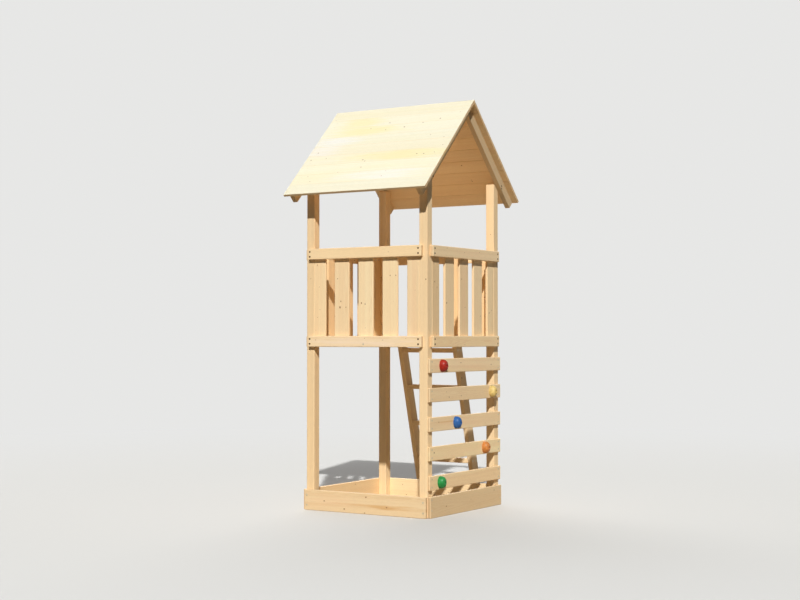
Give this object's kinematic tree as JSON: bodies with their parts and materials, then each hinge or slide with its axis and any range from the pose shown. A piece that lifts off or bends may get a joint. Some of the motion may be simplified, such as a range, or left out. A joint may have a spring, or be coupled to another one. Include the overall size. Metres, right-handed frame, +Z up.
{
  "type": "play tower",
  "caption": "Wooden play tower with a raised deck in slatted railings, a pitched board roof, a climbing wall with moulded holds, a leaning ladder and a sandbox frame.",
  "frame": {"origin": "on the ground, under the middle of the whole outline from roof eave to ladder foot", "axes": "+Z up, +X towards the climbing wall, +Y towards the ladder side, so the front with its full railing faces -Y"},
  "size_m": [1.178, 1.6098, 2.9099],
  "materials": {
    "planed_spruce": "planed, unpainted softwood",
    "roof_spruce": "planed, unpainted softwood, pale",
    "screw_steel": "dark bronze coating",
    "bolt_steel": "zinc plated",
    "plastic_green": "moulded, lightly glossy",
    "plastic_orange": "moulded, lightly glossy",
    "plastic_blue": "moulded, lightly glossy",
    "plastic_yellow": "moulded, lightly glossy",
    "plastic_red": "moulded, lightly glossy"
  },
  "bodies": {
    "root": {"climbing_board_1": "planed_spruce", "climbing_board_2": "planed_spruce", "climbing_board_3": "planed_spruce", "climbing_board_4": "planed_spruce", "climbing_board_5": "planed_spruce", "deck_floor": "planed_spruce", "deck_joist_left": "planed_spruce", "deck_joist_middle": "planed_spruce", "deck_joist_right": "planed_spruce", "ladder_stringer_left": "planed_spruce", "ladder_stringer_right": "planed_spruce", "ladder_tread_1": "planed_spruce", "ladder_tread_2": "planed_spruce", "ladder_tread_3": "planed_spruce", "ladder_tread_4": "planed_spruce", "lower_rail_back": "planed_spruce", "lower_rail_front": "planed_spruce", "lower_rail_left": "planed_spruce", "lower_rail_right": "planed_spruce", "upper_rail_back": "planed_spruce", "upper_rail_front": "planed_spruce", "upper_rail_left": "planed_spruce", "upper_rail_right": "planed_spruce", "post_back_left": "planed_spruce", "post_back_right": "planed_spruce", "post_front_left": "planed_spruce", "post_front_right": "planed_spruce", "rafter_back_left": "planed_spruce", "rafter_back_right": "planed_spruce", "rafter_front_left": "planed_spruce", "rafter_front_right": "planed_spruce", "sandbox_board_back": "planed_spruce", "sandbox_board_front": "planed_spruce", "sandbox_board_left": "planed_spruce", "sandbox_board_right": "planed_spruce", "slat_back_1": "planed_spruce", "slat_back_2": "planed_spruce", "slat_front_1": "planed_spruce", "slat_front_2": "planed_spruce", "slat_front_3": "planed_spruce", "slat_front_4": "planed_spruce", "slat_front_5": "planed_spruce", "slat_left_1": "planed_spruce", "slat_left_2": "planed_spruce", "slat_left_3": "planed_spruce", "slat_left_4": "planed_spruce", "slat_left_5": "planed_spruce", "slat_right_1": "planed_spruce", "slat_right_2": "planed_spruce", "slat_right_3": "planed_spruce", "slat_right_4": "planed_spruce", "slat_right_5": "planed_spruce", "roof_slope_back": "roof_spruce", "roof_slope_front": "roof_spruce", "hold_green": "plastic_green", "hold_orange": "plastic_orange", "hold_blue": "plastic_blue", "hold_yellow": "plastic_yellow", "hold_red": "plastic_red"}
  },
  "joints": []
}
